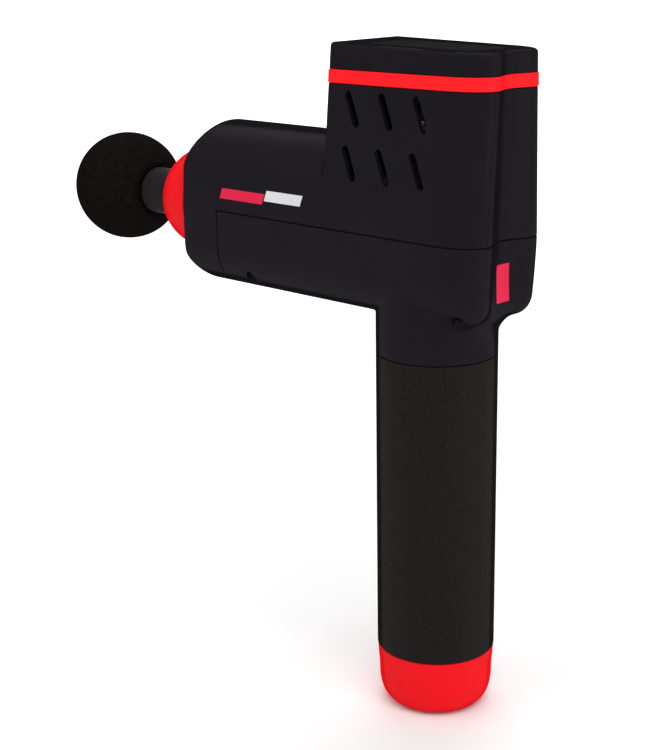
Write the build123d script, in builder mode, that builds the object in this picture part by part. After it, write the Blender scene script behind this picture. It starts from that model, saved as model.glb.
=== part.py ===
from build123d import *
import os
from math import atan2, cos, degrees, pi, sin, sqrt

# Handheld massage gun: upright battery grip, horizontal percussion barrel and motor tower.
# Frame: origin at the centre of the flat base, +Z up along the grip, the head points along -X,
# +X is the rear. Millimetres.

os.makedirs("parts", exist_ok=True)

# ---- heights above the base
GRIP_BOTTOM = 24.3
NECK_Z = 145.0
BARREL_BOTTOM = 159.1
DRIVE_Z = 190.0
SEAM_Z = 191.0
ARCH_Z = 207.3
BARREL_TOP = 224.8
BAND_BOTTOM = 245.3
BAND_TOP = 250.3
TOP_FRONT = 260.0
TOP_REAR = 258.4

# ---- housing
WALL = 2.2
HALF_GAP = 0.125
BODY_HALF = 23.4
BODY_FRONT = -119.0
COLLAR_X = -97.2
SIDE_END = 15.0
GROOVE_X = 30.2
GROOVE_FILL = 1.6
REAR_X = SIDE_END + 20.2
TOWER_FRONT = -38.8
TOWER_FRONT_LEAN = 2.3
SIDE_LEAN = 4.5
REAR_LEAN = -1.0
LOFT_TOP = 261.0
CORNER_R = 15.0
TOWER_STEP = 0.06
FRONT_EDGE = 2.5
REAR_R = 10.0
REAR_DRAFT = 2.4
NECK_R = 23.3
NECK_BORE = 22.0
NECK_ROOT = 28.0
BAND_PROUD = 0.3
TOP_EDGE = 1.1
TOP_WALL = 3.2
FLOOR_Z = BARREL_BOTTOM + WALL
FIT = 0.05

# ---- vent slots
SLOT_FIRST_X = -23.9
SLOT_PITCH = 16.4
SLOT_COUNT = 3
SLOT_ROWS = ((236.3, 0.0), (216.4, -0.7))
SLOT_LENGTH = 13.9
SLOT_WIDTH = 3.3
SLOT_ANGLE = 113.0

# ---- touch panel and display
PANEL_X = -0.5
PANEL_LENGTH = 52.0
PANEL_WIDTH = 25.0
PANEL_CORNER = 6.0
PANEL_DEPTH = 1.2
PANEL_T = 0.8
PANEL_GAP = 0.15
BOARD_T = 1.6
DISPLAY_BOARD_X = (-25.0, 24.0)
DISPLAY_BOARD_HALF = 13.5
DISPLAY_HALF = (12.0, 7.0)
DISPLAY_T = 4.0
LAMP_X = 16.0
LAMP_PITCH = 7.0
LAMP_R = 2.2

# ---- grip and battery
GRIP_R = 23.3
TUBE_R = 21.9
TUBE_BORE = 20.3
TUBE_BOTTOM = 16.0
TUBE_TOP = 157.0
CELL_R = 9.1
CELL_H = 65.0
CELL_CAP = 0.8
CELL_RING = 10.7
CELL_TIERS = (27.0, 94.0)
HOLDER_T = 6.0
STRIP_T = 0.25
STRIP_WIDTH = 6.0
PACK_BOARD_Z = 22.6

# ---- percussion drive
CRANK_R = 6.0
PIN_R = 3.0
PIN_BEARING_R = 6.5
SLIP = 1.4
YOKE_H = 10.0
YOKE_RIM = 4.2
YOKE_END = 2.6
DISC_R = 12.0
DISC_T = 5.5
WEIGHT_R = 13.88
RAM_R = 10.0
RAM_FRONT = -140.5
SOCKET_R = 7.05
SOCKET_DEPTH = 32.0
BUSH_R = 13.0
NOSE_R = 22.0
NOSE_FRONT = -141.5
NOSE_POWER = 2.7

# ---- motor
PLATE_Z = 206.0
PLATE_T = 3.0
PLATE_X = -2.8
PLATE_SIZE = (57.4, 38.4)
PLATE_CORNER = 8.0
MOTOR_TUBE_BORE = 6.5
MOTOR_TUBE_R = 8.1
MOTOR_TUBE_H = 19.0
BEARING_T = 4.0
SHAFT_R = 2.5
STATOR_R = 13.0
STATOR_Z = (212.0, 226.0)
TEETH = 12
POLES = 14
BELL_R = 16.3
BELL_WALL = 1.3
BELL_CROWN = 1.8
BELL_Z = 210.5
BELL_TOP = 231.5
FAN_Z = 233.5
FAN_TOP = 238.5
FAN_BLADES = 9
FAN_R = 15.6

# ---- head
BALL_X = -182.0
BALL_R = 23.8
STEM_R = 10.0
PLUG_R = 6.95
PLUG_END = -110.5
RING_PLACES = (-117.0, -129.0)
NECK_STEM_R = 7.0
CORE_R = 11.0
CORE_T = 4.0

# ---- screws
SCREW_PLACES = [(-81.0, 18.8), (-81.0, -18.8), (25.0, 17.3), (25.0, -17.3)]
SCREW_SHANK = 1.5
SCREW_HEAD = 2.7
SCREW_SEAT = 172.0
SCREW_TIP = 199.0
SCREW_HEAD_T = 2.6
POST_R = 4.2
RIB_HALF = 1.2

# ---- drive mounts and controller
MOUNT_PLACES = [(-27.5, 15.2), (-27.5, -15.2), (23.0, 14.2), (23.0, -14.2)]
MOUNT_POST_R = 3.6
MOUNT_RIB_HALF = 1.5
MOUNT_POST_H = 8.0
BOARD_POSTS = [(-92.0, 8.0), (-92.0, -8.0), (-64.0, 8.0), (-64.0, -8.0)]
BOARD_POST_R = 2.4
BOARD_Z = 168.0
BOARD_X = (-96.0, -60.0)
BOARD_HALF = 11.0
DRIVER_COUNT = 6
DRIVER_X = -86.0
DRIVER_PITCH = 3.4

# ---- end cap, switch and charging jack
CAP_TOP_R = 23.2
CAP_SIDE_R = 22.45
CAP_BASE_R = 13.0
CAP_ROUND = 14.4
CAP_POWER = 2.7
CAP_STEPS = 8
CAP_FLOOR = 5.5
SEAT_Z = 3.0
SWITCH_X = 7.0
SWITCH_SIZE = (11.0, 15.4)
SWITCH_FACE_Z = 1.9
SWITCH_BACK = 15.0
JACK_X = -10.5
JACK_R = 4.5
JACK_BARREL_R = 3.95
ROCKER_HALF = 5.6
ROCKER_WIDTH = 5.8
ROCKER_PIVOT_Z = 4.6
ROCKER_TILT = 8.0

# ---- outer reaches of cutting blocks
FAR = 60.0
WIDE = 40.0

EAST = Plane.YZ


def save(piece, name):
    """Label one finished piece and write its STEP file."""
    piece.part.label = name
    export_step(piece.part, f"parts/{name}.step")


def body_outline(half_width, front_x, inset, fill=0.0):
    """Plan of the body: straight sides, two rear lobes and the shallow hollow between them."""
    side_end = SIDE_END - inset
    quarter = (side_end + 9.0, -0.972 * half_width)
    shoulder = (side_end + 14.6, -0.878 * half_width)
    corner = (side_end + 17.9, -0.742 * half_width)
    lobe = (side_end + 19.5, -0.560 * half_width)
    flank = (side_end + 17.1, -0.280 * half_width)
    groove = (GROOVE_X - inset + fill, 0)
    with BuildSketch() as plan:
        with BuildLine():
            rear = Spline(
                (side_end, -half_width), quarter, shoulder, corner, lobe, flank, groove,
                tangents=[(1, 0), (0, 1)],
            )
            mirror(rear, about=Plane.XZ)
            Polyline((side_end, -half_width), (front_x, -half_width), (front_x, half_width),
                     (side_end, half_width))
        make_face()
    return plan.sketch


def tower_plan(z, grow):
    """Tower section at height z, grown outwards (or shrunk if negative) by grow."""
    share = (z - SEAM_Z) / (LOFT_TOP - SEAM_Z)
    half_width = BODY_HALF - SIDE_LEAN * share + TOWER_STEP + grow
    front = TOWER_FRONT + TOWER_FRONT_LEAN * share - grow
    return body_outline(half_width, front, REAR_LEAN * share - grow, GROOVE_FILL * share)


def barrel_section(grow):
    """Cross-section of the barrel above and below the seam."""
    lean = SIDE_LEAN * (ARCH_Z - SEAM_Z) / (LOFT_TOP - SEAM_Z)
    half = BODY_HALF + grow
    arch = half - lean
    low = BARREL_BOTTOM - grow
    corner = CORNER_R + grow
    bend = corner * (1 - sqrt(0.5))
    with BuildSketch() as section:
        with BuildLine():
            Line((half, SEAM_Z), (arch, ARCH_Z))
            ThreePointArc((arch, ARCH_Z), (0, BARREL_TOP + grow), (-arch, ARCH_Z))
            Line((-arch, ARCH_Z), (-half, SEAM_Z))
            Line((-half, SEAM_Z), (-half, low + corner))
            ThreePointArc((-half, low + corner), (bend - half, low + bend), (corner - half, low))
            Line((corner - half, low), (half - corner, low))
            ThreePointArc((half - corner, low), (half - bend, low + bend), (half, low + corner))
            Line((half, low + corner), (half, SEAM_Z))
        make_face()
    return section.sketch


def rear_profile(grow):
    """Side profile of the body below the seam, with its drafted and rounded rear end."""
    rear = REAR_X + grow
    low = BARREL_BOTTOM - grow
    turn = (rear - REAR_DRAFT - REAR_R, low)
    with BuildSketch() as profile:
        with BuildLine():
            Polyline((rear, SEAM_Z), (rear, ARCH_Z), (BODY_FRONT - 5, ARCH_Z),
                     (BODY_FRONT - 5, low), turn)
            Spline(turn, (rear - REAR_DRAFT - 2.2, low + 4.0), (rear, SEAM_Z),
                   tangents=[(1, 0), (0.05, 1)])
        make_face()
    return profile.sketch


# ======================================================================= body envelopes
def upper_body(grow, seam_z, front_edge=0.0):
    """Barrel above the seam with its full front collar, and the tower over it."""
    front_x = BODY_FRONT - grow
    with BuildPart() as upper:
        with BuildSketch(EAST.offset(front_x)):
            add(barrel_section(grow))
        extrude(amount=TOWER_FRONT + 2 * WALL - front_x)
        if front_edge:
            fillet(upper.faces().sort_by(Axis.X)[0].edges(), front_edge)
        with BuildSketch(Plane((COLLAR_X - HALF_GAP + 50, 0, seam_z))):
            Rectangle(100, 100)
        extrude(amount=-60, mode=Mode.SUBTRACT)
        with BuildSketch(Plane.XY.offset(seam_z)):
            add(tower_plan(seam_z, grow))
        with BuildSketch(Plane.XY.offset(LOFT_TOP)):
            add(tower_plan(LOFT_TOP, grow))
        loft()
    return upper.part


def lower_body(grow, front_x, seam_z):
    """Underside of the body from the collar to the rear, up to seam_z."""
    with BuildPart() as lower:
        with BuildSketch(Plane.XY.offset(BARREL_BOTTOM - grow)):
            add(body_outline(BODY_HALF + grow, front_x, -grow))
        extrude(amount=seam_z - BARREL_BOTTOM + grow)
        with BuildSketch(EAST.offset(front_x)):
            add(barrel_section(grow))
        extrude(amount=200, mode=Mode.INTERSECT)
        with BuildSketch(Plane.XZ):
            add(rear_profile(grow))
        extrude(amount=60, both=True, mode=Mode.INTERSECT)
    return lower.part


def disc_on(plane, radius, depth, bore=0.0):
    """Plain disc or ring standing on a plane."""
    with BuildPart() as disc:
        with BuildSketch(plane):
            Circle(radius)
            if bore:
                Circle(bore, mode=Mode.SUBTRACT)
        extrude(amount=depth)
    return disc.part


def ring_z(z, height, radius, bore=0.0):
    """Upright disc or ring between z and z + height."""
    return disc_on(Plane.XY.offset(z), radius, height, bore)


def ring_x(x, length, radius, bore=0.0):
    """Disc or ring on the drive axis between x and x + length."""
    return disc_on(Plane((x, 0, DRIVE_Z), x_dir=(0, 1, 0), z_dir=(1, 0, 0)), radius, length, bore)


with BuildPart() as side_slots:
    with BuildSketch(Plane.XZ):
        for row_z, shift in SLOT_ROWS:
            for n in range(SLOT_COUNT):
                with Locations((SLOT_FIRST_X + n * SLOT_PITCH + shift, row_z)):
                    SlotOverall(SLOT_LENGTH, SLOT_WIDTH, rotation=SLOT_ANGLE)
    extrude(amount=40, both=True)


def slab(x0, x1, y0, y1, z0, z1):
    """Plain rectangular block between two corners."""
    with BuildPart() as block:
        with BuildSketch(Plane((0.5 * (x0 + x1), 0.5 * (y0 + y1), z0))):
            Rectangle(x1 - x0, y1 - y0)
        extrude(amount=z1 - z0)
    return block.part


def column(x, y, z0, z1, radius, bore=0.0):
    """Upright round post or tube at one place in plan."""
    return disc_on(Plane((x, y, z0)), radius, z1 - z0, bore)


def ribbed_post(x, y, z0, z1, radius, rib_half):
    """Screw post with a rib that ties it to the nearer side wall."""
    wall = WIDE * y / abs(y)
    with BuildPart() as post:
        add(column(x, y, z0, z1, radius))
        add(slab(x - rib_half, x + rib_half, min(y, wall), max(y, wall), z0, z1))
    return post.part


# ======================================================================= housing shells
upper_outer = upper_body(0, SEAM_Z + HALF_GAP, FRONT_EDGE)
cavity_up = upper_body(-WALL, SEAM_Z - 4)
cavity_low = lower_body(-WALL, COLLAR_X - 8, SEAM_Z + 4)

with BuildPart() as posts_up:
    for x, y in SCREW_PLACES:
        add(ribbed_post(x, y, SEAM_Z + HALF_GAP, SCREW_TIP + 4, POST_R, RIB_HALF))
    for x, y in MOUNT_PLACES:
        add(ribbed_post(x, y, PLATE_Z - MOUNT_POST_H, PLATE_Z, MOUNT_POST_R, MOUNT_RIB_HALF))
    add(upper_body(0.8 - WALL, SEAM_Z - 4), mode=Mode.INTERSECT)

with BuildPart() as upper_housing:
    add(upper_outer)
    add(cavity_up, mode=Mode.SUBTRACT)
    add(slab(-FAR, FAR, -WIDE, WIDE, BAND_BOTTOM, LOFT_TOP + 5), mode=Mode.SUBTRACT)
    add(side_slots.part, mode=Mode.SUBTRACT)
    add(ring_x(BODY_FRONT - 1, 10, BUSH_R + FIT), mode=Mode.SUBTRACT)
    add(posts_up.part)
    for x, y in SCREW_PLACES:
        add(column(x, y, SEAM_Z - 1, SCREW_TIP + 1, SCREW_SHANK + FIT), mode=Mode.SUBTRACT)
    for x, y in MOUNT_PLACES:
        add(column(x, y, PLATE_Z - 7, PLATE_Z + 1, 1.05), mode=Mode.SUBTRACT)
save(upper_housing, "upper_housing")

with BuildPart() as posts_low:
    for x, y in SCREW_PLACES:
        add(column(x, y, BARREL_BOTTOM, SEAM_Z - HALF_GAP, POST_R))
    for x, y in BOARD_POSTS:
        add(column(x, y, FLOOR_Z - 0.5, BOARD_Z, BOARD_POST_R))
    add(lower_body(0.8 - WALL, COLLAR_X, SEAM_Z + 4), mode=Mode.INTERSECT)

with BuildPart() as lower_housing:
    add(lower_body(0, COLLAR_X + HALF_GAP, SEAM_Z - HALF_GAP))
    add(ring_z(NECK_Z, NECK_ROOT, NECK_R))
    add(cavity_low, mode=Mode.SUBTRACT)
    add(ring_z(NECK_Z - 1, 20, NECK_BORE), mode=Mode.SUBTRACT)
    add(posts_low.part)
    for x, y in SCREW_PLACES:
        add(column(x, y, BARREL_BOTTOM - 5, SEAM_Z + 1, SCREW_SHANK + FIT), mode=Mode.SUBTRACT)
        add(column(x, y, BARREL_BOTTOM - 5, SCREW_SEAT, SCREW_HEAD + 0.1), mode=Mode.SUBTRACT)
    for x, y in BOARD_POSTS:
        add(column(x, y, BOARD_Z - 4, BOARD_Z + 1, 0.95), mode=Mode.SUBTRACT)
save(lower_housing, "lower_housing")


def hex_screw(x, y, seat, tip, shank, head, height, turn=1):
    """Hex-socket screw: shank from seat to tip, head on the far side of the seat."""
    with BuildPart() as screw:
        add(column(x, y, min(seat, tip), max(seat, tip), shank))
        crown = seat - turn * height
        add(column(x, y, min(seat, crown), max(seat, crown), head))
        socket = crown + turn * 0.6 * height
        with BuildSketch(Plane((x, y, min(crown, socket)))):
            RegularPolygon(0.55 * head, 6)
        extrude(amount=abs(socket - crown), mode=Mode.SUBTRACT)
    return screw.part


with BuildPart() as housing_screws:
    for x, y in SCREW_PLACES:
        add(hex_screw(x, y, SCREW_SEAT, SCREW_TIP, SCREW_SHANK, SCREW_HEAD, SCREW_HEAD_T))
save(housing_screws, "housing_screws")

# ======================================================================= band, cap, top panel
with BuildPart() as band_loft:
    with BuildSketch(Plane.XY.offset(SEAM_Z)):
        add(tower_plan(SEAM_Z, BAND_PROUD))
    with BuildSketch(Plane.XY.offset(LOFT_TOP)):
        add(tower_plan(LOFT_TOP, BAND_PROUD))
    loft()
    add(slab(-FAR, FAR, -WIDE, WIDE, BAND_BOTTOM, BAND_TOP), mode=Mode.INTERSECT)

with BuildPart() as accent_band:
    add(band_loft.part)
    add(cavity_up, mode=Mode.SUBTRACT)
save(accent_band, "accent_band")

TOP_TILT = degrees(atan2(TOP_FRONT - TOP_REAR, 70.0))
top_plane = Plane((0, 0, 0.5 * (TOP_FRONT + TOP_REAR))).rotated((0, TOP_TILT, 0))

with BuildPart() as cap_hollow:
    with BuildSketch(Plane.XY.offset(BAND_TOP - 1)):
        add(tower_plan(BAND_TOP - 1, -WALL))
    with BuildSketch(Plane.XY.offset(LOFT_TOP)):
        add(tower_plan(LOFT_TOP, -WALL))
    loft()
    with BuildSketch(top_plane.offset(-TOP_WALL)):
        Rectangle(200, 100)
    extrude(amount=20, mode=Mode.SUBTRACT)

with BuildPart() as top_cap:
    with BuildSketch(Plane.XY.offset(BAND_TOP)):
        add(tower_plan(BAND_TOP, 0))
    with BuildSketch(Plane.XY.offset(LOFT_TOP)):
        add(tower_plan(LOFT_TOP, 0))
    loft()
    with BuildSketch(top_plane):
        Rectangle(200, 100)
    extrude(amount=20, mode=Mode.SUBTRACT)
    fillet(top_cap.faces().sort_by(Axis.Z)[-1].edges(), TOP_EDGE)
    add(cap_hollow.part, mode=Mode.SUBTRACT)
    with BuildSketch(top_plane.offset(-PANEL_DEPTH)):
        with Locations((PANEL_X, 0)):
            RectangleRounded(PANEL_LENGTH + 2 * PANEL_GAP, PANEL_WIDTH + 2 * PANEL_GAP,
                             PANEL_CORNER + PANEL_GAP)
    extrude(amount=5, mode=Mode.SUBTRACT)
save(top_cap, "top_cap")

with BuildPart() as top_panel:
    with BuildSketch(top_plane.offset(-PANEL_DEPTH)):
        with Locations((PANEL_X, 0)):
            RectangleRounded(PANEL_LENGTH, PANEL_WIDTH, PANEL_CORNER)
    extrude(amount=PANEL_T)
save(top_panel, "top_panel")

with BuildPart() as display_board:
    add(slab(*DISPLAY_BOARD_X, -DISPLAY_BOARD_HALF, DISPLAY_BOARD_HALF, BAND_TOP - BOARD_T, BAND_TOP))
save(display_board, "display_board")

with BuildPart() as display_module:
    add(slab(-DISPLAY_HALF[0], DISPLAY_HALF[0], -DISPLAY_HALF[1], DISPLAY_HALF[1],
             BAND_TOP, BAND_TOP + DISPLAY_T))
    for lamp_y in (-LAMP_PITCH, 0, LAMP_PITCH):
        add(column(LAMP_X, lamp_y, BAND_TOP, BAND_TOP + LAMP_R, LAMP_R))
save(display_module, "display_module")

# ======================================================================= nose and bushes
with BuildPart() as nose_ring:
    with BuildSketch(Plane.XZ):
        steps = 9
        reach = BODY_FRONT - NOSE_FRONT
        with BuildLine():
            rim = (RAM_R + 1.0) / NOSE_R
            last = (1 - rim ** NOSE_POWER) ** (1 / NOSE_POWER)
            curve = []
            for n in range(steps):
                turn = last * sin(0.5 * pi * n / (steps - 1))
                height = NOSE_R * (1 - turn ** NOSE_POWER) ** (1 / NOSE_POWER)
                curve.append((BODY_FRONT - reach * turn / last, DRIVE_Z + height))
            Spline(curve, tangents=[(0, 1), (-0.25, -1)])
            Polyline(curve[-1], (NOSE_FRONT, DRIVE_Z + RAM_R + 0.45),
                     (NOSE_FRONT + 4.0, DRIVE_Z + RAM_R + 0.45),
                     (NOSE_FRONT + 4.0, DRIVE_Z + BUSH_R + FIT),
                     (BODY_FRONT, DRIVE_Z + BUSH_R + FIT), curve[0])
        make_face()
    revolve(axis=Axis((0, 0, DRIVE_Z), (1, 0, 0)))
save(nose_ring, "nose_ring")

with BuildPart() as nose_seal:
    add(ring_x(NOSE_FRONT + 4.1, 3.0, BUSH_R, RAM_R + 0.06))
save(nose_seal, "nose_seal")

BUSH_BACK = -94.0
with BuildPart() as front_bush:
    add(ring_x(NOSE_FRONT + 7.2, BUSH_BACK - NOSE_FRONT - 7.2, BUSH_R, RAM_R + FIT))
    add(ring_x(BODY_FRONT + WALL, 2.5, BUSH_R + 4.0, RAM_R + FIT))
save(front_bush, "front_bush")

BRACKET_X = (-56.0, -48.0)
with BuildPart() as bush_bracket:
    add(slab(BRACKET_X[0], BRACKET_X[1], -8.4, 8.4, FLOOR_Z, DRIVE_Z))
    add(ring_x(BRACKET_X[0], BRACKET_X[1] - BRACKET_X[0], 16.0))
    add(ring_x(BRACKET_X[0] - 1, 20, BUSH_R), mode=Mode.SUBTRACT)
save(bush_bracket, "bush_bracket")

with BuildPart() as rear_bush:
    add(ring_x(BRACKET_X[0], BRACKET_X[1] - BRACKET_X[0], BUSH_R, RAM_R + FIT))
save(rear_bush, "rear_bush")

# ======================================================================= ram: yoke and shaft
SLOT_X = PIN_BEARING_R + SLIP
SLOT_Y = PIN_BEARING_R + CRANK_R + 0.7
YOKE_X = SLOT_X + YOKE_RIM
YOKE_Y = SLOT_Y + YOKE_END

with BuildPart() as yoke:
    with BuildSketch(Plane.XY.offset(DRIVE_Z - 0.5 * YOKE_H)):
        RectangleRounded(2 * YOKE_X, 2 * YOKE_Y, 3.0)
        Rectangle(2 * SLOT_X, 2 * SLOT_Y, mode=Mode.SUBTRACT)
    extrude(amount=YOKE_H)
save(yoke, "yoke")

with BuildPart() as output_shaft:
    add(ring_x(RAM_FRONT, -YOKE_X - RAM_FRONT, RAM_R))
    add(ring_x(RAM_FRONT, SOCKET_DEPTH, SOCKET_R), mode=Mode.SUBTRACT)
    add(ring_x(RAM_FRONT + SOCKET_DEPTH + 8, 76.0, 6.5), mode=Mode.SUBTRACT)
    add(slab(-32.0, 0, -20, 20, DRIVE_Z + 0.5 * YOKE_H, DRIVE_Z + 20), mode=Mode.SUBTRACT)
    add(slab(-32.0, 0, -20, 20, DRIVE_Z - 20, DRIVE_Z - 0.5 * YOKE_H), mode=Mode.SUBTRACT)
    chamfer(output_shaft.faces().sort_by(Axis.X)[0].edges(), 0.6)
save(output_shaft, "output_shaft")

# ======================================================================= crank group
DISC_Z = DRIVE_Z + 0.5 * YOKE_H + 2.0
with BuildPart() as crank_disc:
    add(ring_z(DISC_Z, DISC_T, DISC_R))
    with BuildSketch(Plane.XY.offset(DISC_Z)):
        with BuildLine():
            weight_end = (13.8, -1.5)
            Polyline((-weight_end[0], weight_end[1]), (-DISC_R, 3.0), (DISC_R, 3.0), weight_end)
            ThreePointArc(weight_end, (0, -WEIGHT_R), (-weight_end[0], weight_end[1]))
        make_face()
    extrude(amount=DISC_T)
    add(column(0, 0, DISC_Z + 1.5, DISC_Z + DISC_T + 1, SHAFT_R), mode=Mode.SUBTRACT)
    add(column(0, CRANK_R, DISC_Z - 1, DISC_Z + 4.0, PIN_R), mode=Mode.SUBTRACT)
save(crank_disc, "crank_disc")

with BuildPart() as crank_pin:
    add(column(0, CRANK_R, DRIVE_Z - 4.5, DISC_Z + 4.0, PIN_R))
    add(column(0, CRANK_R, DRIVE_Z - 6.0, DRIVE_Z - 4.5, PIN_R + 1.2))
save(crank_pin, "crank_pin")

with BuildPart() as pin_bearing:
    add(column(0, CRANK_R, DRIVE_Z - 4.5, DRIVE_Z + 4.5, PIN_BEARING_R, PIN_R))
save(pin_bearing, "pin_bearing")

# ======================================================================= motor
with BuildPart() as motor_mount:
    with BuildSketch(Plane.XY.offset(PLATE_Z)):
        with Locations((PLATE_X, 0)):
            RectangleRounded(*PLATE_SIZE, PLATE_CORNER)
        Circle(MOTOR_TUBE_BORE - 1.0, mode=Mode.SUBTRACT)
        with Locations(*MOUNT_PLACES):
            Circle(1.25, mode=Mode.SUBTRACT)
    extrude(amount=PLATE_T)
    add(ring_z(PLATE_Z + PLATE_T, MOTOR_TUBE_H, MOTOR_TUBE_R, MOTOR_TUBE_BORE))
save(motor_mount, "motor_mount")

with BuildPart() as mount_screws:
    for x, y in MOUNT_PLACES:
        add(hex_screw(x, y, PLATE_Z + PLATE_T, PLATE_Z - 6.5, 1.0, 2.0, 1.8, -1))
save(mount_screws, "mount_screws")

BEARINGS_Z = (PLATE_Z + PLATE_T + 0.1, PLATE_Z + PLATE_T + 14.0)
with BuildPart() as motor_bearings:
    for z in BEARINGS_Z:
        add(ring_z(z, BEARING_T, MOTOR_TUBE_BORE, SHAFT_R + 0.02))
save(motor_bearings, "motor_bearings")

with BuildPart() as motor_stator:
    with BuildSketch(Plane.XY.offset(STATOR_Z[0])):
        Circle(STATOR_R)
        Circle(STATOR_R - 1.4, mode=Mode.SUBTRACT)
        with PolarLocations(STATOR_R - 0.9, TEETH, start_angle=180 / TEETH):
            Rectangle(3.0, 1.1, mode=Mode.SUBTRACT)
        Circle(MOTOR_TUBE_BORE + 3.0)
        with PolarLocations(MOTOR_TUBE_BORE + 4.2, TEETH):
            Rectangle(5.0, 1.6)
        Circle(MOTOR_TUBE_BORE + 1.65, mode=Mode.SUBTRACT)
    extrude(amount=STATOR_Z[1] - STATOR_Z[0])
save(motor_stator, "motor_stator")

with BuildPart() as coil:
    with BuildSketch(Plane.XY.offset(STATOR_Z[0] - 0.9)):
        with Locations((MOTOR_TUBE_BORE + 4.05, 0)):
            Rectangle(1.7, 3.1)
    extrude(amount=STATOR_Z[1] - STATOR_Z[0] + 1.8)
    add(slab(0, 20, -0.85, 0.85, STATOR_Z[0] - 0.05, STATOR_Z[1] + 0.05), mode=Mode.SUBTRACT)

with BuildPart() as motor_windings:
    with PolarLocations(0, TEETH):
        add(coil.part)
save(motor_windings, "motor_windings")

with BuildPart() as rotor_bell:
    add(ring_z(BELL_Z, BELL_TOP - BELL_Z, BELL_R, BELL_R - BELL_WALL))
    add(ring_z(BELL_TOP - BELL_CROWN, BELL_CROWN, BELL_R, SHAFT_R))
    add(ring_z(BELL_TOP, FAN_Z - BELL_TOP, 5.0, SHAFT_R))
    with BuildSketch(Plane.XY.offset(BELL_TOP - 3)):
        with PolarLocations(10.5, 6):
            SlotOverall(5.2, 3.4, rotation=90)
    extrude(amount=4, mode=Mode.SUBTRACT)
save(rotor_bell, "rotor_bell")

with BuildPart() as magnet:
    with BuildSketch(Plane.XY.offset(BELL_Z + 0.5)):
        Circle(BELL_R - BELL_WALL)
        Circle(STATOR_R + 0.45, mode=Mode.SUBTRACT)
        with Locations((20, 0)):
            Rectangle(40, 4.6, mode=Mode.INTERSECT)
    extrude(amount=STATOR_Z[1] - BELL_Z)

with BuildPart() as rotor_magnets:
    with PolarLocations(0, POLES):
        add(magnet.part)
save(rotor_magnets, "rotor_magnets")

with BuildPart() as motor_shaft:
    add(ring_z(DISC_Z + 1.5, FAN_TOP - DISC_Z - 1.5, SHAFT_R))
save(motor_shaft, "motor_shaft")

with BuildPart() as cooling_fan:
    add(ring_z(FAN_Z, FAN_TOP - FAN_Z, 5.5, SHAFT_R))
    with BuildSketch(Plane.XY.offset(FAN_Z)):
        with PolarLocations(10.3, FAN_BLADES):
            Rectangle(10.4, 1.0, rotation=24)
    extrude(amount=FAN_TOP - FAN_Z)
    add(ring_z(FAN_Z, 0.9, FAN_R, SHAFT_R))
save(cooling_fan, "cooling_fan")

# ======================================================================= controller board
with BuildPart() as controller_board:
    add(slab(*BOARD_X, -BOARD_HALF, BOARD_HALF, BOARD_Z, BOARD_Z + BOARD_T))
    for x, y in BOARD_POSTS:
        add(column(x, y, BOARD_Z - 1, BOARD_Z + 3, 1.05), mode=Mode.SUBTRACT)
save(controller_board, "controller_board")

with BuildPart() as board_components:
    for n in range(DRIVER_COUNT):
        x = DRIVER_X + DRIVER_PITCH * n
        add(slab(x - 1.3, x + 1.3, -7.0, -3.0, BOARD_Z + BOARD_T, BOARD_Z + 2.8))
    for x, y in ((-86.0, 4.0), (-79.0, 4.0)):
        add(column(x, y, BOARD_Z + BOARD_T, BOARD_Z + 8.6, 3.0))
    add(slab(-73.0, -68.0, 1.5, 6.5, BOARD_Z + BOARD_T, BOARD_Z + 2.6))
save(board_components, "board_components")

with BuildPart() as board_screws:
    for x, y in BOARD_POSTS:
        add(hex_screw(x, y, BOARD_Z + BOARD_T, BOARD_Z - 3.5, 0.9, 1.7, 1.2, -1))
save(board_screws, "board_screws")

# ======================================================================= battery grip
with BuildPart() as grip_tube:
    add(ring_z(TUBE_BOTTOM, TUBE_TOP - TUBE_BOTTOM, TUBE_R, TUBE_BORE))
save(grip_tube, "grip_tube")

with BuildPart() as grip_sleeve:
    add(ring_z(GRIP_BOTTOM + 0.2, NECK_Z - GRIP_BOTTOM - 0.4, GRIP_R, TUBE_R))
    fillet(grip_sleeve.edges().filter_by(GeomType.CIRCLE).group_by(SortBy.RADIUS)[-1], 0.3)
save(grip_sleeve, "grip_sleeve")

with BuildPart() as cell:
    add(ring_z(0, CELL_H, CELL_R))
    add(ring_z(CELL_H, CELL_CAP, 3.0))
    fillet(cell.edges().filter_by(GeomType.CIRCLE).group_by(SortBy.RADIUS)[-1], 0.5)

with BuildPart() as battery_cells:
    for tier in CELL_TIERS:
        with Locations(Plane.XY.offset(tier)):
            with PolarLocations(CELL_RING, 3):
                add(cell.part)
save(battery_cells, "battery_cells")

with BuildPart() as cell_holders:
    for tier in CELL_TIERS:
        for rise in (4.0, CELL_H - 10.0):
            with BuildSketch(Plane.XY.offset(tier + rise)):
                Circle(TUBE_BORE - 0.1)
                with PolarLocations(CELL_RING, 3):
                    Circle(CELL_R + FIT, mode=Mode.SUBTRACT)
            extrude(amount=HOLDER_T)
save(cell_holders, "cell_holders")

with BuildPart() as cell_strips:
    for tier in CELL_TIERS:
        for z in (tier - STRIP_T, tier + CELL_H + CELL_CAP):
            with BuildSketch(Plane.XY.offset(z)):
                with PolarLocations(0, 3):
                    with Locations((0.5 * CELL_RING, 0)):
                        SlotOverall(CELL_RING + STRIP_WIDTH, STRIP_WIDTH)
            extrude(amount=STRIP_T)
save(cell_strips, "cell_strips")

with BuildPart() as pack_board:
    add(ring_z(PACK_BOARD_Z, BOARD_T, TUBE_BORE - 0.2))
save(pack_board, "pack_board")

with BuildPart() as pack_spacer:
    with BuildSketch(Plane.XY.offset(PACK_BOARD_Z + BOARD_T)):
        Circle(TUBE_BORE - 0.3)
        Circle(TUBE_BORE - 2.3, mode=Mode.SUBTRACT)
    extrude(amount=CELL_TIERS[0] - PACK_BOARD_Z - BOARD_T - STRIP_T)
save(pack_spacer, "pack_spacer")

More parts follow.
